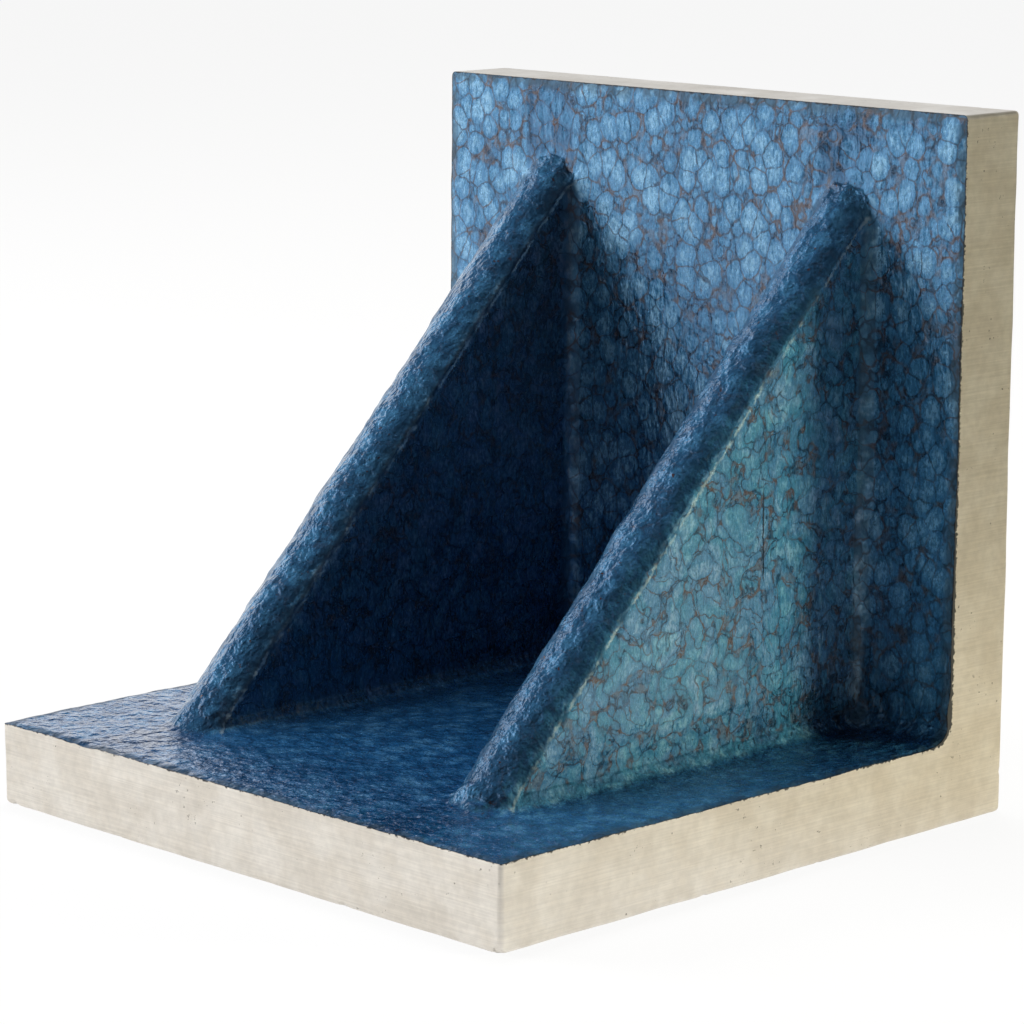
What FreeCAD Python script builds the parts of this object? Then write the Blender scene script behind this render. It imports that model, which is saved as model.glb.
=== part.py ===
import FreeCAD, Part

import math
import os

import Sketcher

# Angle plate: a cast-iron workholding bracket with two slabs at a right angle and two
# triangular webs across the inside of the corner. It is one casting, so it is one body.
# Millimetres. X runs along the width, -Y is the free end of the base, +Y is the working
# face of the upright and Z is up. The origin is the middle of the footprint, on the
# bottom face. The outer faces are ground flat; the faces inside the corner are as cast.

SIZES = [
    ("plate_width", 152.4, "width of both slabs, along X"),
    ("plate_depth", 150.0, "from the free end of the base to the working face"),
    ("plate_height", 150.0, "from the bottom face to the top of the upright"),
    ("base_thickness", 18.0, "thickness of the base slab"),
    ("upright_thickness", 17.4, "thickness of the upright slab at its top"),
    ("draft_angle", 0.4, "degrees of draft on the upright and on the webs' sides"),
    ("corner_radius", 5.0, "inside corner between the two slabs"),
    ("web_spacing", 87.4, "distance between the middles of the two webs"),
    ("web_thickness", 15.4, "thickness of a web where it stands on the base"),
    ("crest_setdown", 17.0, "from the top of the upright down to where the crests end"),
    ("toe_setback", 21.5, "from the free end of the base back to the webs' toes"),
    ("web_embed", 2.0, "how far the ends of a web's own solid enter the slabs"),
    ("crown_radius", 9.7, "radius of the rounded crest of a web"),
    ("arris_radius", 1.5, "rounding of the arrises between a crest and a web's sides"),
    ("root_radius", 3.5, "fillet all round the foot of a web"),
    ("edge_break", 0.9, "chamfer on the arrises between two ground faces"),
]

# A point nearer than this to a surface lies on it.
TOUCH = 0.01

# Lengths and angles that follow from the sheet, as expressions in its names. A crest line
# rises from the toe, on the base, to the upright's inner face at the crest's top.
DRAFT = "tan(sizes.draft_angle * 1 deg)"
WEB_FOOT = "(sizes.base_thickness - sizes.web_embed)"
CREST_TOP = "(sizes.plate_height - sizes.crest_setdown)"
CREST_RISE = "(%s - sizes.base_thickness)" % CREST_TOP
UPRIGHT_FACE = (
    "(sizes.plate_depth / 2 - sizes.upright_thickness - sizes.crest_setdown * %s)" % DRAFT
)
CREST_REACH = "(%s + sizes.plate_depth / 2 - sizes.toe_setback)" % UPRIGHT_FACE
CREST_RUN = "(%s / %s)" % (CREST_REACH, CREST_RISE)
CREST_ANGLE = "atan(%s / %s)" % (CREST_RISE, CREST_REACH)


def make_sheet(doc):
    """The driving dimensions, one row each: name, value and meaning."""
    sheet = doc.addObject("Spreadsheet::Sheet", "sizes")
    for row, (alias, value, meaning) in enumerate(SIZES, start=1):
        sheet.set("A%d" % row, alias)
        sheet.set("B%d" % row, str(value))
        sheet.set("C%d" % row, meaning)
        sheet.setAlias("B%d" % row, alias)
    doc.recompute()
    return sheet


def origin_plane(body, role):
    """One of the body's own base planes, such as XY_Plane."""
    return [item for item in body.Origin.OriginFeatures if item.Role == role][0]


def add_sketch(body, name, role):
    """An empty sketch on one of the body's base planes."""
    sketch = body.newObject("Sketcher::SketchObject", name)
    sketch.AttachmentSupport = [(origin_plane(body, role), "")]
    sketch.MapMode = "FlatFace"
    return sketch


def start(curve):
    """The first point of a sketch's curve, as the Sketcher numbers it."""
    return curve, 1


def end(curve):
    """The last point of a sketch's curve."""
    return curve, 2


def zero():
    """A sketch's own origin."""
    return -1, 1


def relate(sketch, kind, *members):
    """Add a geometric constraint."""
    sketch.addConstraint(Sketcher.Constraint(kind, *members))


def measure(sketch, kind, members, name, value, expression):
    """Add a dimension with a name, start it near its value and bind it to the sheet."""
    index = sketch.addConstraint(Sketcher.Constraint(kind, *members, value))
    sketch.renameConstraint(index, name)
    sketch.setExpression("Constraints." + name, expression)


def draw_slabs(body, sheet):
    """Side view of the two slabs: an L with a rounded inside corner."""
    sketch = add_sketch(body, "slab_section", "YZ_Plane")
    half_depth = sheet.plate_depth / 2
    height = sheet.plate_height
    base = sheet.base_thickness
    radius = sheet.corner_radius
    face = half_depth - sheet.upright_thickness

    def at(along, up):
        return FreeCAD.Vector(along, up, 0)

    bottom, back, top, inner, floor, front = [
        sketch.addGeometry(Part.LineSegment(tail, tip), False)
        for tail, tip in (
            (at(-half_depth, 0), at(half_depth, 0)),
            (at(half_depth, 0), at(half_depth, height)),
            (at(half_depth, height), at(face, height)),
            (at(face, height), at(face, base + radius)),
            (at(face - radius, base), at(-half_depth, base)),
            (at(-half_depth, base), at(-half_depth, 0)),
        )
    ]
    circle = Part.Circle(at(face - radius, base + radius), FreeCAD.Vector(0, 0, 1), radius)
    corner = sketch.addGeometry(Part.ArcOfCircle(circle, -math.pi / 2, 0), False)

    for first, second in ((bottom, back), (back, top), (top, inner), (floor, front), (front, bottom)):
        relate(sketch, "Coincident", *end(first), *start(second))
    relate(sketch, "Tangent", *end(inner), *end(corner))
    relate(sketch, "Tangent", *start(floor), *start(corner))
    for line in (bottom, top, floor):
        relate(sketch, "Horizontal", line)
    for line in (back, front):
        relate(sketch, "Vertical", line)
    relate(sketch, "Symmetric", *start(bottom), *end(bottom), *zero())

    measure(sketch, "DistanceX", (*start(bottom), *end(bottom)), "depth", 2 * half_depth,
            "sizes.plate_depth")
    measure(sketch, "DistanceY", (*start(back), *end(back)), "tall", height,
            "sizes.plate_height")
    measure(sketch, "DistanceX", (*end(top), *start(top)), "upright",
            sheet.upright_thickness, "sizes.upright_thickness")
    measure(sketch, "DistanceY", (*end(front), *start(front)), "base", base,
            "sizes.base_thickness")
    measure(sketch, "Radius", (corner,), "corner", radius, "sizes.corner_radius")
    measure(sketch, "Angle", (inner,), "draft", -math.pi / 2,
            "-(90 + sizes.draft_angle) * 1 deg")
    return sketch


def draw_crown(body, sheet):
    """End view along a crest: what lies outside its round top, drawn from the top line."""
    sketch = add_sketch(body, "crown_section", "XZ_Plane")
    sketch.AttachmentOffset = FreeCAD.Placement(
        FreeCAD.Vector(sheet.web_spacing / 2, sheet.plate_height - sheet.crest_setdown, 0),
        FreeCAD.Rotation(FreeCAD.Vector(1, 0, 0), 45),
    )
    sketch.setExpression("AttachmentOffset.Base.x", "sizes.web_spacing / 2")
    sketch.setExpression("AttachmentOffset.Base.y", CREST_TOP)
    sketch.setExpression("AttachmentOffset.Base.z", "-" + UPRIGHT_FACE)
    sketch.setExpression("AttachmentOffset.Rotation.Angle", CREST_ANGLE)
    radius = sheet.crown_radius

    def at(across, up):
        return FreeCAD.Vector(across, up, 0)

    right, lid, left = [
        sketch.addGeometry(Part.LineSegment(tail, tip), False)
        for tail, tip in (
            (at(radius, -radius), at(radius, radius)),
            (at(radius, radius), at(-radius, radius)),
            (at(-radius, radius), at(-radius, -radius)),
        )
    ]
    circle = Part.Circle(at(0, -radius), FreeCAD.Vector(0, 0, 1), radius)
    crown = sketch.addGeometry(Part.ArcOfCircle(circle, 0, math.pi), False)

    relate(sketch, "Coincident", *end(right), *start(lid))
    relate(sketch, "Coincident", *end(lid), *start(left))
    relate(sketch, "Tangent", *end(left), *end(crown))
    relate(sketch, "Tangent", *start(crown), *start(right))
    relate(sketch, "Vertical", right)
    relate(sketch, "Vertical", left)
    relate(sketch, "Symmetric", *start(lid), *end(lid), -2)

    measure(sketch, "Radius", (crown,), "round", radius, "sizes.crown_radius")
    measure(sketch, "DistanceY", (*start(right), *zero()), "drop", radius, "sizes.crown_radius")
    measure(sketch, "DistanceY", (*zero(), *start(lid)), "clear", radius, "sizes.crown_radius")
    return sketch


def middle_of(edge):
    """The point half way along an edge."""
    return edge.valueAt((edge.FirstParameter + edge.LastParameter) / 2)


def edges_where(shape, test):
    """Names of the edges that pass the test."""
    return ["Edge%d" % number for number, edge in enumerate(shape.Edges, start=1) if test(edge)]


def add_dressing(body, kind, name, feature, edges, size, expression):
    """A fillet or chamfer on some edges of the feature."""
    dressing = body.newObject(kind, name)
    dressing.Base = (feature, edges)
    dressing.setExpression(size, expression)
    body.Tip = dressing
    body.Document.recompute()
    return dressing


def build_webs(body, sheet):
    """One web as a wedge with drafted sides and a round crest, then its mirror image.

    The wedge stands on its foot level and rises to its head level. Its own Y is up and its
    own Z runs forwards, from half way through the upright to the sloping crest.
    """
    wedge = body.newObject("PartDesign::AdditiveWedge", "web")
    wedge.Placement = FreeCAD.Placement(
        FreeCAD.Vector(0, 0, 0), FreeCAD.Rotation(FreeCAD.Vector(1, 0, 0), 90)
    )
    head_level = "(%s + sizes.web_embed)" % CREST_TOP
    half_foot = "(sizes.web_thickness / 2 + sizes.web_embed * %s)" % DRAFT
    half_head = "(sizes.web_thickness / 2 - (%s + sizes.web_embed) * %s)" % (CREST_RISE, DRAFT)
    middle = "sizes.web_spacing / 2"
    rear = "(sizes.upright_thickness / 2 - sizes.plate_depth / 2)"
    # Zmax is settled first, because a wedge refuses a back that lies in front of it.
    for size, expression in (
        ("Zmax", "sizes.plate_depth / 2 - sizes.toe_setback + sizes.web_embed * %s" % CREST_RUN),
        ("Zmin", rear),
        ("Z2max", "-%s - sizes.web_embed * %s" % (UPRIGHT_FACE, CREST_RUN)),
        ("Z2min", rear),
        ("Ymax", head_level),
        ("Ymin", WEB_FOOT),
        ("Xmax", "%s + %s" % (middle, half_foot)),
        ("Xmin", "%s - %s" % (middle, half_foot)),
        ("X2max", "%s + %s" % (middle, half_head)),
        ("X2min", "%s - %s" % (middle, half_head)),
    ):
        wedge.setExpression(size, expression)
    body.Document.recompute()
    whole = wedge.Shape.Volume

    crest = body.newObject("PartDesign::Pocket", "crest")
    crest.Profile = draw_crown(body, sheet)
    crest.Type = "ThroughAll"
    crest.Midplane = True
    body.Document.recompute()
    if not crest.Shape.Volume < whole:
        raise RuntimeError("the round crest cut nothing")

    webs = body.newObject("PartDesign::Mirrored", "webs")
    webs.Originals = [wedge, crest]
    webs.MirrorPlane = (origin_plane(body, "YZ_Plane"), [""])
    body.Tip = webs
    body.Document.recompute()
    return webs


def build_slabs(body, sheet):
    """The two slabs, across the whole width, joined to the webs."""
    slabs = body.newObject("PartDesign::Pad", "slabs")
    slabs.Profile = draw_slabs(body, sheet)
    slabs.Midplane = True
    slabs.setExpression("Length", "sizes.plate_width")
    body.Document.recompute()
    return slabs


def round_crests(body, webs):
    """Round the long arrises between each crest and the web's sides, which slope."""
    def slopes(edge):
        first, last = edge.Vertexes[0].Point, edge.Vertexes[-1].Point
        return abs(first.y - last.y) > 1 and abs(first.z - last.z) > 1

    return add_dressing(body, "PartDesign::Fillet", "web_arrises", webs,
                        edges_where(webs.Shape, slopes), "Radius", "sizes.arris_radius")


def fillet_roots(body, sheet, slabs):
    """Fillet the line where each web meets the slabs, all the way round."""
    slab_shape = slabs.AddSubShape.copy()
    half_zone = sheet.web_thickness / 2 + sheet.web_embed

    def at_a_foot(edge):
        point = middle_of(edge)
        in_zone = abs(abs(point.x) - sheet.web_spacing / 2) < half_zone
        return in_zone and slab_shape.distToShape(Part.Vertex(point))[0] < TOUCH

    return add_dressing(body, "PartDesign::Fillet", "web_roots", slabs,
                        edges_where(slabs.Shape, at_a_foot), "Radius", "sizes.root_radius")


def break_ground_edges(body, sheet, feature):
    """Chamfer the arrises between two ground faces, which all lie on the outer box."""
    def between_ground_faces(edge):
        point = middle_of(edge)
        on_faces = (
            abs(abs(point.x) - sheet.plate_width / 2) < TOUCH,
            abs(abs(point.y) - sheet.plate_depth / 2) < TOUCH,
            abs(point.z) < TOUCH or abs(point.z - sheet.plate_height) < TOUCH,
        )
        return sum(on_faces) == 2

    return add_dressing(body, "PartDesign::Chamfer", "ground_edges", feature,
                        edges_where(feature.Shape, between_ground_faces), "Size",
                        "sizes.edge_break")


def build_angle_plate(doc, sheet):
    """The whole casting as one body: webs first, so that their cuts touch nothing else."""
    body = doc.addObject("PartDesign::Body", "angle_plate")
    body.Label = "angle_plate"
    body.Placement = FreeCAD.Placement()
    webs = build_webs(body, sheet)
    round_crests(body, webs)
    slabs = build_slabs(body, sheet)
    rooted = fillet_roots(body, sheet, slabs)
    break_ground_edges(body, sheet, rooted)
    return body


def check(doc, body):
    """Stop if any object failed, or if the casting isn't one sound solid."""
    for item in doc.Objects:
        if "Invalid" in item.State or "Error" in item.State:
            raise RuntimeError("%s failed: %s" % (item.Name, item.State))
    shape = body.Shape
    if shape.isNull() or not shape.isValid() or len(shape.Solids) != 1:
        raise RuntimeError("%s is not one sound solid" % body.Label)


doc = FreeCAD.newDocument("angle_plate")
sheet = make_sheet(doc)
casting = build_angle_plate(doc, sheet)
doc.recompute()
check(doc, casting)

os.makedirs("parts", exist_ok=True)
casting.Shape.exportStep(os.path.join("parts", casting.Label + ".step"))
print("%s: volume %.1f cm3" % (casting.Label, casting.Shape.Volume / 1000))
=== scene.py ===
"""Looks of the angle plate: an enamelled casting with ground outer faces, in a plain studio.

Metres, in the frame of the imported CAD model. One piece stands for the one casting.
"""

import math
from types import SimpleNamespace

import bmesh
import bpy
from mathutils import Matrix, Vector, noise


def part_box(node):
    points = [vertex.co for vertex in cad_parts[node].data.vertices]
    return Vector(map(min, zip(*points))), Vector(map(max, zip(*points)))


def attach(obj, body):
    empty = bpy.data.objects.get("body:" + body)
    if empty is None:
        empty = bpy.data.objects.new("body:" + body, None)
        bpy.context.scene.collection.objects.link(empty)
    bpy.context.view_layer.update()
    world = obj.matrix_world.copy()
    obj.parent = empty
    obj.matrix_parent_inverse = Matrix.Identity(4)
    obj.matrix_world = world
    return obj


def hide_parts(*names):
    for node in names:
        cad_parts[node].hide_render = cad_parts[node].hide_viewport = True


MM = 0.001

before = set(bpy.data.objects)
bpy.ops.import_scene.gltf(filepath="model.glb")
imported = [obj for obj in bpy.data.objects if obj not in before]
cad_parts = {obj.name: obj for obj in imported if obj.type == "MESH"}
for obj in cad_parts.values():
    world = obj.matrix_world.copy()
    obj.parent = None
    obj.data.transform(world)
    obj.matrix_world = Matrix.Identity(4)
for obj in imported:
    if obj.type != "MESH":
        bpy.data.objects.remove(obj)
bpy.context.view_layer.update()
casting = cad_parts["angle_plate"]
LOW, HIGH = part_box("angle_plate")

# ---------------------------------------------------------------- shape of the casting

PAD = 2.0 * MM          # how far the blank stands out past the ground faces before it is trimmed
RIM = 1.2 * MM          # what lies nearer than this to the box belongs to a ground face
GRAIN = 0.95 * MM       # length of one face of the cast skin
ARRIS = 1.1 * MM        # rounding of the arrises between two ground faces
STEP = 1.0 * MM         # spacing of points along those arrises

# Places on the casting, in millimetres.
HALF_WIDTH = HIGH.x / MM
FREE_END = LOW.y / MM
TOP = HIGH.z / MM
WEB_X = 43.7                   # middle of a web, either side of the middle of the plate
CREST_TOE = (-53.5, 18.0)      # Y and Z of the foot of a crest, and of its head at the upright
CREST_HEAD = (57.5, 133.0)
CREST_RUN = CREST_HEAD[0] - CREST_TOE[0]
CREST_RISE = CREST_HEAD[1] - CREST_TOE[1]
CREST_LENGTH = math.hypot(CREST_RUN, CREST_RISE)
CREST_NORMAL = (-CREST_RISE / CREST_LENGTH, CREST_RUN / CREST_LENGTH)


def fbm(point, size, octaves=3, seed=0.0):
    """Soft noise from about -1 to 1; size is the width of its largest lumps."""
    q = Vector((point[0] / size + seed, point[1] / size - seed, point[2] / size + 3.1 * seed))
    return noise.fractal(q, 1.0, 2.0, octaves)


def smooth(edge0, edge1, x):
    """Goes softly from 0 to 1 as x goes from edge0 to edge1."""
    t = min(1.0, max(0.0, (x - edge0) / (edge1 - edge0)))
    return t * t * (3 - 2 * t)


def lump(point, centre, radii):
    """A soft bump of height 1 round a centre, with a radius along each axis."""
    d = sum(((a - b) / r) ** 2 for a, b, r in zip(point, centre, radii))
    return math.exp(-d) if d < 12 else 0.0


def along_crest(mm):
    """Share of the way along the crest's slope (0 at the toe) and millimetres above the slope."""
    forward = mm.y - CREST_TOE[0]
    up = mm.z - CREST_TOE[1]
    share = (forward * CREST_RUN + up * CREST_RISE) / CREST_LENGTH ** 2
    return share, (up * CREST_RUN - forward * CREST_RISE) / CREST_LENGTH


# Runs, beads and blobs of thick paint: centre, radii and height, all in millimetres.
PAINT_BLOBS = [
    ((40.5, -50.0, 20.0), (3.0, 2.2, 2.0), 0.55),
    ((45.5, -52.5, 19.0), (3.5, 1.6, 1.4), 0.45),
    ((50.0, -47.5, 20.5), (1.6, 2.4, 2.4), 0.50),
    ((-47.5, -50.5, 20.0), (2.6, 2.2, 2.0), 0.45),
    ((-38.0, -49.0, 20.0), (2.4, 2.6, 1.8), 0.50),
    ((-33.5, -40.0, 18.6), (1.0, 9.0, 0.9), 0.35),
    ((-32.6, -24.0, 18.4), (0.9, 7.0, 0.8), 0.30),
    ((52.8, -30.0, 20.0), (0.9, 12.0, 1.0), 0.35),
    ((53.0, 10.0, 20.2), (0.9, 15.0, 1.0), 0.35),
    ((53.2, 40.0, 20.6), (1.2, 8.0, 1.3), 0.50),
    ((54.6, 57.0, 61.0), (0.8, 1.6, 4.0), 0.55),
    ((55.2, 57.0, 52.0), (0.7, 1.6, 5.0), 0.40),
    ((55.0, 56.5, 30.0), (1.3, 2.2, 7.0), 0.80),
    ((53.6, 53.5, 21.5), (1.4, 2.6, 2.6), 0.70),
    ((-34.6, 57.0, 82.0), (0.7, 1.5, 9.0), 0.35),
    ((-34.4, 57.0, 60.0), (0.6, 1.5, 6.0), 0.35),
    ((75.8, 57.2, 24.5), (2.6, 2.6, 3.2), 0.85),
    ((74.5, 52.5, 18.6), (2.2, 3.0, 1.8), 0.40),
]
# Where the paint wrinkled: centre and radii in millimetres.
WRINKLES = [
    ((57.5, 56.5, 25.0), (5.0, 5.0, 10.0)),
    ((44.0, -51.0, 20.0), (9.0, 5.0, 4.0)),
    ((-42.5, -49.5, 20.0), (9.0, 5.0, 4.0)),
    ((-43.7, 55.5, 131.5), (8.0, 4.0, 5.0)),
    ((43.7, 55.5, 131.5), (8.0, 4.0, 5.0)),
]


# Lumps of the skin: height and width in millimetres, octaves and seed.
SAND_LUMPS = [(0.24, 17, 3, 1.7), (0.11, 4.5, 2, 5.2)]
CREST_LUMPS = [(0.34, 9, 3, 2.4), (0.15, 3, 2, 7.7)]
CREST_BOW = {True: 0.7, False: -0.4}   # how far the right and the left crest bow up, in millimetres
WRINKLE_HEIGHT = 0.75
ROLL_DEPTH = 0.30                      # how much the enamel thins at a ground face
ROLL_WIDTH = 1.6


def lumps(p, table):
    return sum(height * fbm(p, width * MM, octaves, seed) for height, width, octaves, seed in table)


def crest_offset(p, n, mm):
    """What the crests of the webs add: their bow, their lumps and a bead of paint at each arris."""
    share, above = along_crest(mm)
    if above <= -6 or not -0.1 < share < 1.05:
        return 0.0
    crest = smooth(-6, -2, above)
    bow = CREST_BOW[p.x > 0] * math.sin(math.pi * min(1.0, max(0.0, share))) * max(0.0, n.z)
    bead = math.exp(-((above + 3.4) / 0.8) ** 2)
    return crest * (bow + lumps(p, CREST_LUMPS)) + bead * (0.16 + 0.2 * fbm(p, 3 * MM, 2, 3.3))


def skin_offset(p, n):
    """How far the cast skin stands out from its true surface at a point, with its normal."""
    mm = p / MM
    out = lumps(p, SAND_LUMPS)
    wall = smooth(0.7, 0.95, abs(n.y)) + smooth(0.7, 0.95, abs(n.x))
    sagged = Vector((p.x, p.y, p.z * 0.3))
    out += 0.06 * wall * fbm(sagged, 2.6 * MM, 2, 8.8)
    out += 0.07 * smooth(0.8, 0.97, n.z) * fbm(p, 3.2 * MM, 2, 6.1)
    if abs(abs(mm.x) - WEB_X) < 12 and n.z > -0.2:
        out += crest_offset(p, n, mm)
    for centre, radii, height in PAINT_BLOBS:
        out += height * lump(mm, centre, radii)
    for centre, radii in WRINKLES:
        out += WRINKLE_HEIGHT * lump(mm, centre, radii) * fbm(p, 3.0 * MM, 3, 11.0)
    # The enamel thins and rolls over where the ground faces cut it.
    gap = min(HALF_WIDTH - abs(mm.x), TOP - mm.z, mm.y - FREE_END)
    out -= ROLL_DEPTH * (1.0 - smooth(0.0, ROLL_WIDTH, gap))
    return out * MM


def grown_blank(node):
    """The casting's closed mesh, with every ground face moved out by PAD."""
    bm = bmesh.new()
    bm.from_mesh(node.data)
    bmesh.ops.remove_doubles(bm, verts=bm.verts, dist=1e-6)
    for v in bm.verts:
        for axis in range(3):
            if v.co[axis] < LOW[axis] + RIM:
                v.co[axis] = LOW[axis] - PAD
            elif v.co[axis] > HIGH[axis] - RIM:
                v.co[axis] = HIGH[axis] + PAD
    mesh = bpy.data.meshes.new("blank")
    bm.to_mesh(mesh)
    bm.free()
    return mesh


def applied(obj):
    """The mesh of an object with its modifiers in it."""
    graph = bpy.context.evaluated_depsgraph_get()
    return bpy.data.meshes.new_from_object(obj.evaluated_get(graph), depsgraph=graph)


def cast_skin(node):
    """The blank as fine, even faces that follow the lumps of a sand casting under thick enamel."""
    blank = bpy.data.objects.new("blank", grown_blank(node))
    bpy.context.scene.collection.objects.link(blank)
    remesh = blank.modifiers.new("even_faces", "REMESH")
    remesh.mode = "VOXEL"
    remesh.voxel_size = GRAIN
    mesh = applied(blank)
    bpy.data.objects.remove(blank)
    normals = [v.normal.copy() for v in mesh.vertices]
    for v, n in zip(mesh.vertices, normals):
        v.co += n * skin_offset(v.co, n)
    return mesh


def arris_wear(point):
    """How far the rounding of an arris reaches at a point, as a share of its usual reach."""
    wear = 1.0 + 0.35 * fbm(point, 14 * MM, 2, 4.1)
    dings = 3.0 * max(0.0, fbm(point, 3.5 * MM, 2, 9.3) - 0.52)
    return max(0.45, wear + dings)


def worn_box():
    """The outer box as a grinder leaves it, with rounded arrises that are worn and dinged."""
    bm = bmesh.new()
    bmesh.ops.create_cube(bm, size=1.0)
    size = HIGH - LOW
    bmesh.ops.scale(bm, vec=size, verts=bm.verts)
    bmesh.ops.translate(bm, vec=(LOW + HIGH) / 2, verts=bm.verts)
    bmesh.ops.bevel(bm, geom=bm.edges[:], offset=ARRIS, offset_type="OFFSET", segments=4,
                    profile=0.5, affect="EDGES")
    flats = [f for f in bm.faces if f.calc_area() > 0.5 * min(size) ** 2]
    bmesh.ops.delete(bm, geom=flats, context="FACES_ONLY")
    for axis in range(3):
        long_edges = [e for e in bm.edges
                      if abs(e.verts[0].co[axis] - e.verts[1].co[axis]) > 0.5 * size[axis]]
        bmesh.ops.subdivide_edges(bm, edges=long_edges, cuts=int(size[axis] / STEP))
    for v in bm.verts:
        wear = arris_wear(v.co)
        for axis in range(3):
            low_gap = v.co[axis] - LOW[axis]
            high_gap = HIGH[axis] - v.co[axis]
            if low_gap < 1.01 * ARRIS:
                v.co[axis] = LOW[axis] + low_gap * wear
            elif high_gap < 1.01 * ARRIS:
                v.co[axis] = HIGH[axis] - high_gap * wear
    rims = [e for e in bm.edges if e.is_boundary]
    bmesh.ops.holes_fill(bm, edges=rims, sides=0)
    bmesh.ops.recalc_face_normals(bm, faces=bm.faces)
    mesh = bpy.data.meshes.new("worn_box")
    bm.to_mesh(mesh)
    bm.free()
    return mesh


def ground_off(piece, cutter):
    """The mesh of the piece where it lies within the cutter."""
    grind = piece.modifiers.new("ground_flat", "BOOLEAN")
    grind.operation = "INTERSECT"
    grind.solver = "EXACT"
    grind.object = cutter
    mesh = applied(piece)
    piece.modifiers.clear()
    return mesh


def shade(mesh):
    """Smooth faces, with a sharp edge wherever enamel meets a ground face."""
    bm = bmesh.new()
    bm.from_mesh(mesh)
    for face in bm.faces:
        face.smooth = True
    for edge in bm.edges:
        kinds = {face.material_index for face in edge.link_faces}
        edge.smooth = len(kinds) == 1
    bm.to_mesh(mesh)
    bm.free()


def build_casting(node, enamel, ground_iron):
    """The casting: its skin where the enamel is, cut off flat where it is ground."""
    piece = bpy.data.objects.new("painted_casting", cast_skin(node))
    cutter = bpy.data.objects.new("grinder", worn_box())
    for obj in (piece, cutter):
        bpy.context.scene.collection.objects.link(obj)
        obj.data.materials.clear()
        obj.data.materials.append(enamel)
        obj.data.materials.append(ground_iron)
    for polygon in cutter.data.polygons:
        polygon.material_index = 1
    piece.data = ground_off(piece, cutter)
    bpy.data.objects.remove(cutter)
    shade(piece.data)
    weighted = piece.modifiers.new("flat_faces_stay_flat", "WEIGHTED_NORMAL")
    weighted.keep_sharp = True
    return piece


# ------------------------------------------------------------------------- materials

class Nodes:
    """Short ways to put shader nodes together."""

    def __init__(self, tree):
        self.tree = tree
        tree.nodes.clear()

    def add(self, kind, inputs=(), **settings):
        """A node: settings are its own properties, inputs are (name or number, value or socket)."""
        node = self.tree.nodes.new("ShaderNode" + kind)
        for name, value in settings.items():
            setattr(node, name, value)
        for key, value in dict(inputs).items():
            if isinstance(value, bpy.types.NodeSocket):
                self.tree.links.new(value, node.inputs[key])
            else:
                node.inputs[key].default_value = value
        return node

    def math(self, operation, a, b=0.0, c=0.0):
        return self.add("Math", {0: a, 1: b, 2: c}, operation=operation).outputs[0]

    def times(self, *values):
        """The product of values or masks."""
        product = values[0]
        for value in values[1:]:
            product = self.math("MULTIPLY", product, value)
        return product

    def most(self, *values):
        """The largest of several values or masks."""
        largest = values[0]
        for value in values[1:]:
            largest = self.math("MAXIMUM", largest, value)
        return largest

    def size(self, value):
        return self.math("ABSOLUTE", value)

    def vector(self, operation, a, b=(0, 0, 0)):
        return self.add("VectorMath", {0: a, 1: b}, operation=operation).outputs[0]

    def scaled(self, a, factor):
        return self.add("VectorMath", {0: a, "Scale": factor}, operation="SCALE").outputs[0]

    def step(self, value, low, high, out_low=0.0, out_high=1.0):
        """Softly from out_low to out_high as the value goes from low to high."""
        return self.add("MapRange", {"Value": value, "From Min": low, "From Max": high,
                                     "To Min": out_low, "To Max": out_high},
                        interpolation_type="SMOOTHSTEP").outputs[0]

    def fall(self, value, low, high):
        """Softly from 1 to 0 as the value goes from low to high."""
        return self.step(value, low, high, 1.0, 0.0)

    def mix(self, factor, a, b, blend="MIX"):
        node = self.add("Mix", {0: factor, 6: a, 7: b}, data_type="RGBA", blend_type=blend)
        return node.outputs[2]

    def tinted(self, factor, colour, tint):
        """The colour, multiplied by a tint where the mask is 1."""
        return self.mix(factor, colour, self.mix(1.0, colour, tint, "MULTIPLY"))

    def noise(self, where, size, detail=2.0, rough=0.5, output="Fac"):
        """Noise whose lumps are about size millimetres wide."""
        inputs = {"Vector": where, "Scale": 1.0 / size, "Detail": detail, "Roughness": rough}
        return self.add("TexNoise", inputs, noise_dimensions="3D").outputs[output]

    def drift(self, where, size):
        """Noise as a shift to every side, for bending a pattern."""
        return self.vector("SUBTRACT", self.noise(where, size, output="Color"), (0.5, 0.5, 0.5))

    def cells(self, where, size, feature="F1"):
        """Distance from the middles (F1) or the edges of cells about size millimetres wide."""
        inputs = {"Vector": where, "Scale": 1.0 / size}
        return self.add("TexVoronoi", inputs, feature=feature,
                        voronoi_dimensions="3D").outputs["Distance"]


def material(name):
    mat = bpy.data.materials.new(name)
    mat.use_nodes = True
    return mat, Nodes(mat.node_tree)


def finish_material(t, shader):
    t.add("OutputMaterial", {"Surface": shader.outputs[0]})


# The rounded inside corner between the slabs, in millimetres: Y and Z of its centre.
CORNER_CENTRE = (52.6, 23.0)
CORNER_RADIUS = 5.0


def corner_gap(t, p):
    """Millimetres from the painted inside of the corner out into a ground face."""
    xyz = t.add("SeparateXYZ", {0: p}).outputs
    behind = t.most(t.math("SUBTRACT", xyz[1], CORNER_CENTRE[0]), 0.0)
    below = t.most(t.math("SUBTRACT", CORNER_CENTRE[1], xyz[2]), 0.0)
    spot = t.add("CombineXYZ", {0: behind, 1: below, 2: 0.0}).outputs[0]
    length = t.add("VectorMath", {0: spot}, operation="LENGTH").outputs["Value"]
    return t.math("SUBTRACT", length, CORNER_RADIUS)


def grey(t, value):
    return t.add("CombineColor", {0: value, 1: value, 2: value}).outputs[0]


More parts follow.
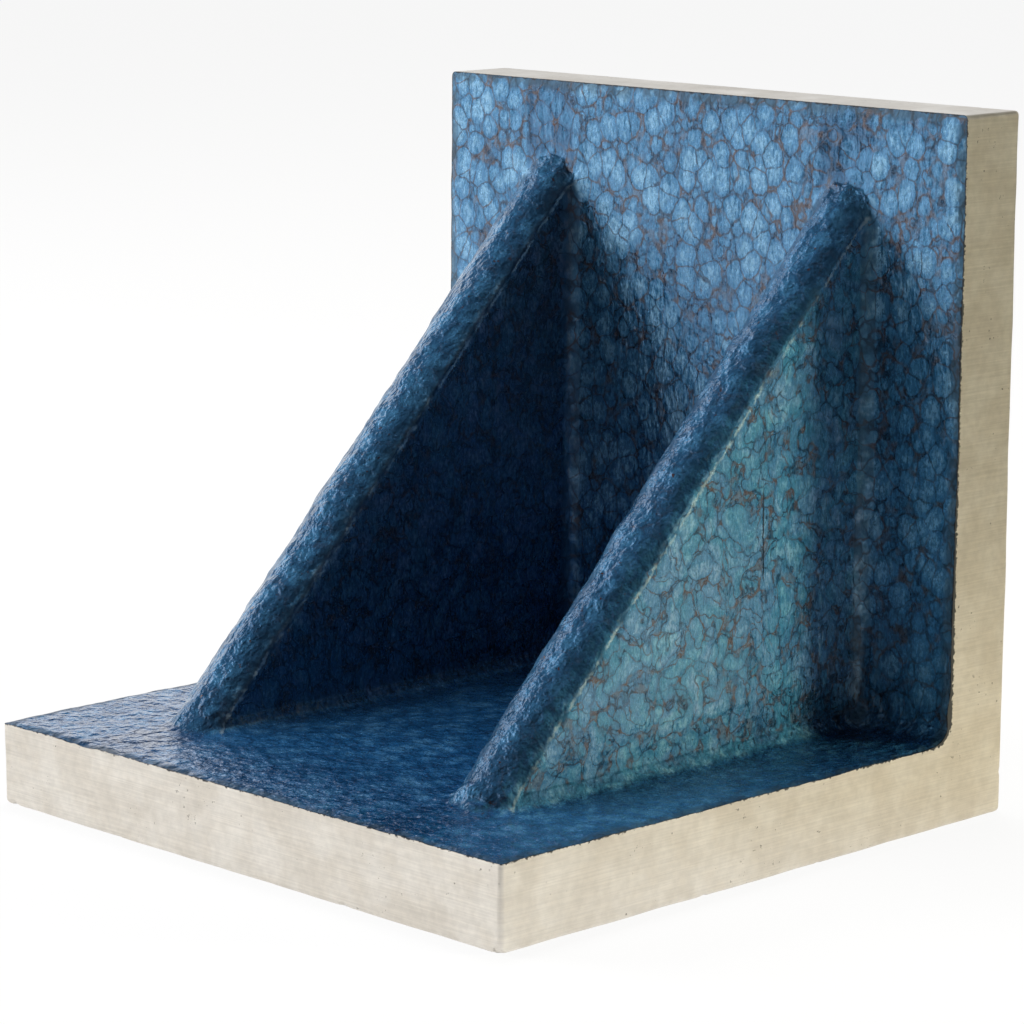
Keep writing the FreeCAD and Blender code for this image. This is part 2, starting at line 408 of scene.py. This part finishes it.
# Colours of the enamel.
DEEP_BLUE = (0.020, 0.115, 0.260, 1)
MID_BLUE = (0.052, 0.220, 0.430, 1)
# Pale flake, partly a painted highlight for glints on the lumps:
PALE_FLAKE_AND_GLINT = (0.215, 0.460, 0.690, 1)
SMOKE = (0.100, 0.132, 0.190, 1)
RING_BLUE = (0.008, 0.034, 0.080, 1)
RING_BROWN = (0.070, 0.045, 0.045, 1)
PIT_BLUE = (0.006, 0.030, 0.070, 1)
RUN_BLUE = (0.004, 0.016, 0.040, 1)
# Painted shade for the fillets between the webs and the upright:
FILLET_SHADE_BLUE = (0.010, 0.045, 0.095, 1)
THIN_PAINT = (0.045, 0.072, 0.090, 1)
BLACK_EDGE = (0.018, 0.016, 0.016, 1)
# Painted highlight for the crest arrises:
ARRIS_HIGHLIGHT_PALE = (0.36, 0.50, 0.60, 1)
CHIP_BROWN = (0.085, 0.032, 0.024, 1)
# Tints that multiply them; the last two are painted shade.
GREEN_CAST = (0.84, 0.93, 0.90, 1)
MAUVE_CAST = (1.16, 0.90, 0.94, 1)
BAY_SHADE = (0.75, 0.50, 0.45, 1)
BASE_SHADE = (0.40, 0.62, 0.80, 1)

# Widths of the pattern's parts, in millimetres.
BIG_BUBBLE = 4.7
SMALL_BUBBLE = 2.3
DIMPLE = 2.6


def enamel_places(t):
    """Coordinates in millimetres, masks of the casting's parts, and the noises that marks share."""
    place = t.add("TexCoord")
    k = SimpleNamespace(p=t.scaled(place.outputs["Object"], 1 / MM))
    k.x, k.y, k.z = t.add("SeparateXYZ", {0: k.p}).outputs
    k.normal = t.add("SeparateXYZ", {0: place.outputs["Normal"]}).outputs
    k.flat = t.step(k.normal[2], 0.80, 0.97)
    k.side = t.step(t.size(k.normal[0]), 0.6, 0.9)
    k.wall = t.fall(t.size(k.normal[2]), 0.15, 0.45)

    k.wander = t.noise(k.p, 3.5)
    k.ragged = t.noise(k.p, 1.6, 3.0, 0.65)
    k.grain = t.noise(t.vector("MULTIPLY", k.p, (1.0, 1.0, 0.55)), 0.8, 3.0, 0.72)
    k.veined = t.step(t.noise(k.p, 2.8), 0.46, 0.60)

    # The paint sagged on upright faces, and ran in long swirls down the sides of the webs.
    k.q = t.vector("MULTIPLY", k.p, (1.0, 1.0, 0.85))
    k.q = t.vector("ADD", k.q, t.scaled(t.drift(k.p, 9.0), t.step(k.side, 0.0, 1.0, 2.6, 15.0)))
    k.q = t.vector("ADD", k.q, t.scaled(t.drift(k.p, 1.5), 0.75))

    # The crests of the webs: height over their slope, and distance from a web's middle.
    from_toe = t.vector("SUBTRACT", k.p, (0.0, *CREST_TOE))
    k.above = t.add("VectorMath", {0: from_toe, 1: (0.0, *CREST_NORMAL)},
                    operation="DOT_PRODUCT").outputs["Value"]
    k.across = t.size(t.math("SUBTRACT", t.size(k.x), WEB_X))
    k.crest = t.times(t.step(k.above, -2.6, -1.8), t.fall(k.across, 6.5, 8.0))
    return k


def add_bubbles(t, k):
    """Big bubbles over small ones: depths in them, the net of their rings, and the gaps between."""
    k.depth = t.math("SUBTRACT", t.math("MULTIPLY_ADD", k.wander, 0.40, 0.46), t.cells(k.q, BIG_BUBBLE))
    k.small_depth = t.math("SUBTRACT", 0.50, t.cells(k.q, SMALL_BUBBLE))
    k.inside = t.step(k.depth, -0.02, 0.05)
    outside = t.math("SUBTRACT", 1.0, k.inside)
    ring = t.times(t.step(k.depth, -0.06, -0.01), t.fall(k.depth, 0.02, 0.08))
    seam = t.times(t.fall(t.cells(k.q, BIG_BUBBLE, "DISTANCE_TO_EDGE"), 0.0, 0.05), k.inside)
    small_ring = t.times(t.step(k.small_depth, -0.12, 0.0), t.fall(k.small_depth, 0.0, 0.12))
    k.net = t.most(ring, seam, t.times(small_ring, outside))
    k.net = t.times(k.net, t.step(k.wander, 0.34, 0.50, 0.3, 1.0), t.step(k.wall, 0.0, 1.0, 0.3, 1.0))
    small_in = t.step(k.small_depth, -0.04, 0.08)
    k.gap = t.times(outside, t.math("SUBTRACT", 1.0, t.times(small_in, 0.8)))


def flake_colour(t, k):
    """From deep blue to pale flake, in streaks, palest inside the bubbles; the palest flake is partly a
    painted highlight for glints on the lumps.
    """
    level = t.mix(k.inside, t.step(k.small_depth, 0.0, 0.4, 0.0, 0.30),
                  t.step(k.depth, 0.0, 0.40, 0.06, 0.42))
    level = t.math("MULTIPLY_ADD", t.step(k.grain, 0.28, 0.72), 0.44, level)
    level = t.math("MULTIPLY_ADD", t.step(t.noise(k.p, 12.0, 3.0), 0.3, 0.7), 0.22, level)
    level = t.times(level, t.step(k.side, 0.0, 1.0, 1.0, 0.88))
    level = t.math("MULTIPLY_ADD", k.crest, -0.36, level)
    colour = t.mix(t.step(level, 0.05, 0.55), DEEP_BLUE, MID_BLUE)
    colour = t.mix(t.step(level, 0.52, 1.05), colour, PALE_FLAKE_AND_GLINT)
    marbling = t.mix(t.step(t.noise(k.q, 7.0), 0.36, 0.64), GREEN_CAST, MAUVE_CAST)
    return t.tinted(k.side, colour, marbling)


def veins_and_rings(t, k, colour):
    near_edge = t.most(k.gap, t.step(t.size(k.depth), 0.02, 0.13, 0.8, 0.0))
    vein = t.times(near_edge, k.veined, t.step(k.wall, 0.0, 1.0, 0.12, 1.0))
    colour = t.mix(t.times(vein, 0.58), colour, SMOKE)
    return t.mix(t.times(k.net, 0.85), colour, t.mix(k.veined, RING_BLUE, RING_BROWN))


def pits_and_shade(t, k, colour):
    """Deep pits on the webs, thickest low down, and painted shade: darker on the right side of the left
    web and on the top of the base.
    """
    limit = t.step(t.math("MULTIPLY_ADD", k.y, -0.55, k.z), 2.0, 42.0, 0.50, 0.68)
    pit = t.step(t.math("SUBTRACT", t.noise(k.q, 1.5, 3.0, 0.7), limit), 0.06, 0.09)
    colour = t.mix(t.times(pit, k.side, 0.9), colour, PIT_BLUE)
    # Painted shade: the right side of the left web, shaded by the right web, turns darker and greyer,
    # and the top of the base darker.
    shaded_bay = t.times(t.step(k.normal[0], 0.5, 0.8), t.fall(k.x, -34.0, -33.0))
    return t.tinted(k.flat, t.tinted(shaded_bay, colour, BAY_SHADE), BASE_SHADE)


def highlight_chips_and_runs(t, k, colour):
    """A painted highlight in a ragged pale line along the crest arrises, small chips, and a dark run
    down the right web.
    """
    # Painted highlight: a pale ragged line along each crest arris stands for the glint of light on it.
    line = t.size(t.math("ADD", k.above, t.math("MULTIPLY_ADD", k.ragged, 1.8, 2.55)))
    arris_highlight = t.times(t.step(k.across, 6.0, 6.8), t.fall(k.across, 8.6, 9.2),
                     t.fall(line, 0.12, 0.42), t.step(k.wander, 0.38, 0.55))
    colour = t.mix(t.times(arris_highlight, 0.65), colour, ARRIS_HIGHLIGHT_PALE)
    colour = t.mix(t.times(t.step(k.ragged, 0.67, 0.71), k.crest), colour, CHIP_BROWN)
    middle = t.size(t.math("SUBTRACT", k.y, t.math("MULTIPLY_ADD", k.ragged, 1.0, 24.9)))
    run = t.times(t.fall(middle, 0.12, 0.34), t.step(k.x, 48.0, 49.0),
                  t.step(k.z, 53.0, 55.0), t.fall(k.z, 71.0, 75.0))
    return t.mix(run, colour, RUN_BLUE)


def fillets_and_rim(t, k, colour):
    """Painted shade in the upright fillets, thin paint beside ground faces; also how dull each is."""
    # Painted shade: the fillets between the webs and the upright are darkened in broken patches.
    fillet_shade = t.step(t.size(t.times(k.normal[0], k.normal[1])), 0.12, 0.36)
    fillet_shade = t.times(fillet_shade, t.step(k.wander, 0.44, 0.60, 1.0, 0.35))
    colour = t.mix(t.times(fillet_shade, 0.6), colour, FILLET_SHADE_BLUE)
    rim = t.math("SUBTRACT", HALF_WIDTH, t.size(k.x))
    rim = t.math("MINIMUM", rim, t.math("SUBTRACT", TOP, k.z))
    rim = t.math("MINIMUM", rim, t.math("SUBTRACT", k.y, FREE_END))
    faded = t.fall(t.math("ADD", rim, t.math("MULTIPLY_ADD", k.veined, 1.6, -0.8)), 0.3, 2.8)
    colour = t.mix(t.times(faded, 0.62), colour, THIN_PAINT)
    bare = t.fall(t.math("ADD", rim, t.math("MULTIPLY_ADD", k.ragged, 1.4, -0.7)), 0.10, 0.32)
    return t.mix(t.times(bare, 0.85), colour, BLACK_EDGE), t.most(faded, fillet_shade)


def enamel_relief(t, k):
    """Fine ripples, runs down the upright faces and dimples on the base, in millimetres."""
    relief = t.math("MULTIPLY_ADD", k.grain, 0.07, t.times(t.cells(k.p, DIMPLE), k.flat, 0.50))
    ripple_height = t.step(k.wall, 0.0, 1.0, 0.95, 0.25)
    relief = t.math("MULTIPLY_ADD", t.noise(k.p, 2.0, 2.0, 0.55), ripple_height, relief)
    runs = t.noise(t.vector("MULTIPLY", k.p, (1.0, 1.0, 0.35)), 1.1)
    relief = t.math("MULTIPLY_ADD", runs, t.times(k.wall, 0.20), relief)
    return t.add("Bump", {"Height": relief, "Distance": MM, "Strength": 1.0}).outputs[0]


def enamel_material():
    """Blue hammer-finish enamel: round bubbles of metal flake, ringed, with veins of smoky paint."""
    mat, t = material("hammer_finish_enamel")
    k = enamel_places(t)
    add_bubbles(t, k)
    colour = veins_and_rings(t, k, flake_colour(t, k))
    colour = highlight_chips_and_runs(t, k, pits_and_shade(t, k, colour))
    colour, dull = fillets_and_rim(t, k, colour)
    relief = enamel_relief(t, k)
    rough = t.times(t.step(k.grain, 0.3, 0.7, 0.20, 0.34), t.step(k.crest, 0.0, 1.0, 1.0, 0.6))
    shader = t.add("BsdfPrincipled", {
        "Base Color": colour, "Metallic": 0.5, "Normal": relief,
        "Roughness": t.math("MULTIPLY_ADD", dull, 0.25, rough),
        "Coat Weight": t.step(dull, 0.0, 1.0, 0.8, 0.25),
        "Coat Roughness": 0.07, "Coat IOR": 1.5, "Coat Normal": relief})
    finish_material(t, shader)
    return mat


# Colours of the ground iron, of its pores, and of paint left at its edge.
IRON_DARK = (0.72, 0.675, 0.605, 1)
IRON_LIGHT = (0.80, 0.765, 0.705, 1)
PORE_BROWN = (0.10, 0.085, 0.07, 1)
FRINGE_DARK = (0.022, 0.024, 0.028, 1)


def ground_material():
    """Bare cast iron, surface ground, with faint brushed streaks, pores and paint at its edge."""
    mat, t = material("ground_cast_iron")
    p = t.scaled(t.add("TexCoord").outputs["Object"], 1 / MM)
    streaks = t.noise(t.vector("MULTIPLY", p, (0.06, 0.06, 3.0)), 1.0, 4.0, 0.6)
    colour = t.mix(t.step(t.noise(p, 11.0, 3.0, 0.6), 0.35, 0.68), IRON_DARK, IRON_LIGHT)
    shine = t.times(t.step(streaks, 0.3, 0.75, 0.90, 1.05),
                    t.step(t.noise(p, 2.2, 3.0, 0.6), 0.3, 0.7, 0.95, 1.05))
    colour = t.mix(1.0, colour, grey(t, shine), "MULTIPLY")
    pore = t.times(t.fall(t.cells(p, 2.4), 0.06, 0.12), t.step(t.noise(p, 16.0), 0.56, 0.66))
    scab = t.times(t.step(t.noise(p, 1.1, 3.0, 0.7), 0.64, 0.70),
                   t.step(t.noise(p, 9.0, 1.0), 0.58, 0.66))
    pit = t.most(pore, scab)
    colour = t.mix(t.times(pit, 0.7), colour, PORE_BROWN)

    # Paint that the grinder left as a ragged dark fringe along the edge of the enamel.
    reach = t.math("MULTIPLY_ADD", t.noise(p, 0.9, 3.0, 0.7), 2.2, -0.95)
    fringe = t.fall(t.math("SUBTRACT", corner_gap(t, p), reach), 0.0, 0.14)
    colour = t.mix(fringe, colour, FRINGE_DARK)
    height = t.math("SUBTRACT", t.times(streaks, 0.02), t.times(pit, 0.08))
    height = t.math("ADD", height, t.times(fringe, 0.06))
    bump = t.add("Bump", {"Height": height, "Distance": MM})
    shader = t.add("BsdfPrincipled", {
        "Base Color": colour, "Normal": bump.outputs[0],
        "Metallic": t.math("MULTIPLY_ADD", fringe, -0.8, 0.9),
        "Roughness": t.step(streaks, 0.3, 0.7, 0.30, 0.42)})
    finish_material(t, shader)
    return mat


# ----------------------------------------------------------------- the part itself

piece = build_casting(casting, enamel_material(), ground_material())
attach(piece, "root")
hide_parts("angle_plate")


# -------------------------------------------------------------------------- studio

# Level directions, in X and Y, and the colours that the floor shows in reflections, where it has a
# painted pool of light and painted shade.
TO_CAMERA = (0.713, -0.701)
TO_RIGHT = (0.71, 0.70)
FLOOR_PAINT = (0.86, 0.86, 0.86, 1)
FLOOR_WHITE = (1.0, 0.985, 0.965, 1)
FLOOR_POOL_WARM_LIGHT = (0.77, 0.69, 0.525, 1)
FLOOR_POOL_FALLOFF = (0.12, 0.11, 0.085, 1)
FLOOR_PAINTED_SHADE = (0.08, 0.08, 0.08, 1)
FLOOR_REACH = 6.0
FLOOR_GLOW = 0.92         # share of plain white in the floor; the rest takes light and shadow
DIMMED = 0.10             # how much of the room's brightness lights the object as plain light


def along(t, place, heading):
    """How far a point lies in a level direction, given in x and y."""
    return t.add("VectorMath", {0: place, 1: (*heading, 0.0)},
                 operation="DOT_PRODUCT").outputs["Value"]


def floor_material():
    """White to the camera, with a soft shadow. In reflections it is white too, but with painted light:
    warmer and dimmer away to the right, as a pool of light, and painted shade towards the camera."""
    mat, t = material("studio_floor")
    paths = t.add("LightPath").outputs
    seen = t.most(paths["Is Camera Ray"], paths["Is Glossy Ray"], paths["Is Transmission Ray"])
    place = t.add("TexCoord").outputs["Object"]
    away = along(t, place, TO_RIGHT)
    # Painted light: reflections see the floor as a warm pool of light that dims away to the right, and
    # as painted shade towards the camera.
    painted_light_tone = t.mix(t.step(away, 0.02, 0.16), FLOOR_WHITE, FLOOR_POOL_WARM_LIGHT)
    painted_light_tone = t.mix(t.step(away, 0.16, 0.56), painted_light_tone, FLOOR_POOL_FALLOFF)
    painted_light_tone = t.mix(t.step(along(t, place, TO_CAMERA), 0.13, 0.24), painted_light_tone, FLOOR_PAINTED_SHADE)
    painted_light_tone = t.mix(paths["Is Camera Ray"], painted_light_tone, (1, 1, 1, 1))
    plain = t.add("BsdfDiffuse", {"Color": FLOOR_PAINT}).outputs[0]
    white = t.add("Emission", {"Color": painted_light_tone, "Strength": 1.0}).outputs[0]
    finish_material(t, t.add("MixShader", {0: t.times(seen, FLOOR_GLOW), 1: plain, 2: white}))
    return mat


def add_floor():
    """One large flat face at the level on which the plate stands."""
    bm = bmesh.new()
    bmesh.ops.create_grid(bm, x_segments=1, y_segments=1, size=FLOOR_REACH)
    bmesh.ops.translate(bm, vec=(0, 0, LOW.z), verts=bm.verts)
    mesh = bpy.data.meshes.new("studio_floor")
    bm.to_mesh(mesh)
    bm.free()
    mesh.materials.append(floor_material())
    floor = bpy.data.objects.new("studio_floor", mesh)
    bpy.context.scene.collection.objects.link(floor)


def add_world():
    """White behind the object and low down all round; dimmer overhead, as in a room with softboxes."""
    world = bpy.data.worlds.new("studio")
    world.use_nodes = True
    bpy.context.scene.world = world
    t = Nodes(world.node_tree)
    paths = t.add("LightPath").outputs
    way = t.add("TexCoord").outputs["Generated"]
    up = t.add("SeparateXYZ", {0: way}).outputs[2]
    shown = t.most(paths["Is Glossy Ray"], paths["Is Transmission Ray"])
    room = t.times(t.step(up, 0.32, 0.66, 1.0, 0.12),
                   t.step(along(t, way, TO_CAMERA), 0.45, 0.85, 1.0, 0.08),
                   t.step(along(t, way, TO_RIGHT), 0.35, 0.85, 1.0, 0.22))
    strength = t.add("Mix", {0: shown, 2: t.times(room, DIMMED), 3: room},
                     data_type="FLOAT").outputs[0]
    strength = t.most(strength, paths["Is Camera Ray"])
    back = t.add("Background", {"Color": (1, 1, 1, 1), "Strength": strength})
    t.add("OutputWorld", {"Surface": back.outputs[0]})


# Lamps: place, side of the square in metres, watts, colour and strength of the glint.
LAMPS = {
    "key": ((-1.15, -0.62, 0.55), 0.6, 24.0, (1.0, 1.0, 1.0), 0.30),
    "top": ((-0.25, 0.25, 1.35), 0.5, 14.0, (1.0, 1.0, 1.0), 0.0),
    "warm_side": ((1.05, 0.80, 0.22), 0.3, 26.0, (1.0, 0.92, 0.60), 0.05),
}
LAMP_AIM = Vector((0, 0, 0.06))


def add_softbox(name, place, size, power, colour, glint):
    """A square lamp. Its glint is how strong its reflection is beside its light."""
    for part, share in (("light", 1.0), ("glint", glint)):
        if share == 0:
            continue
        data = bpy.data.lights.new("%s_%s" % (name, part), "AREA")
        data.shape = "SQUARE"
        data.size = size
        data.energy = power * share
        data.color = colour
        lamp = bpy.data.objects.new(data.name, data)
        lamp.location = place
        lamp.rotation_euler = (LAMP_AIM - Vector(place)).to_track_quat("-Z", "Y").to_euler()
        lamp.visible_glossy = part == "glint"
        lamp.visible_diffuse = part == "light"
        bpy.context.scene.collection.objects.link(lamp)


add_floor()
add_world()
for lamp_name, settings in LAMPS.items():
    add_softbox(lamp_name, *settings)

# ------------------------------------------------------------------------- camera

SENSOR = 36.0
LENS = 138.147
CAMERA_PLACE = (0.582432, -0.572275, 0.221410)
# Which way the picture's right, its lower edge and its depth run.
RIGHT = Vector((0.70190257, 0.71225729, 0.0047268))
DOWN = Vector((0.13766456, -0.12914614, -0.98202329))
AHEAD = Vector((-0.6988428, 0.68993538, -0.18870059))


def add_camera():
    data = bpy.data.cameras.new("camera")
    data.sensor_width = SENSOR
    data.lens = LENS
    data.clip_start = 0.05
    camera = bpy.data.objects.new("camera", data)
    turn = Matrix((RIGHT, -DOWN, -AHEAD)).transposed().to_4x4()
    camera.matrix_world = Matrix.Translation(CAMERA_PLACE) @ turn
    bpy.context.scene.collection.objects.link(camera)
    bpy.context.scene.camera = camera


add_camera()
bpy.context.scene.view_settings.view_transform = "Standard"
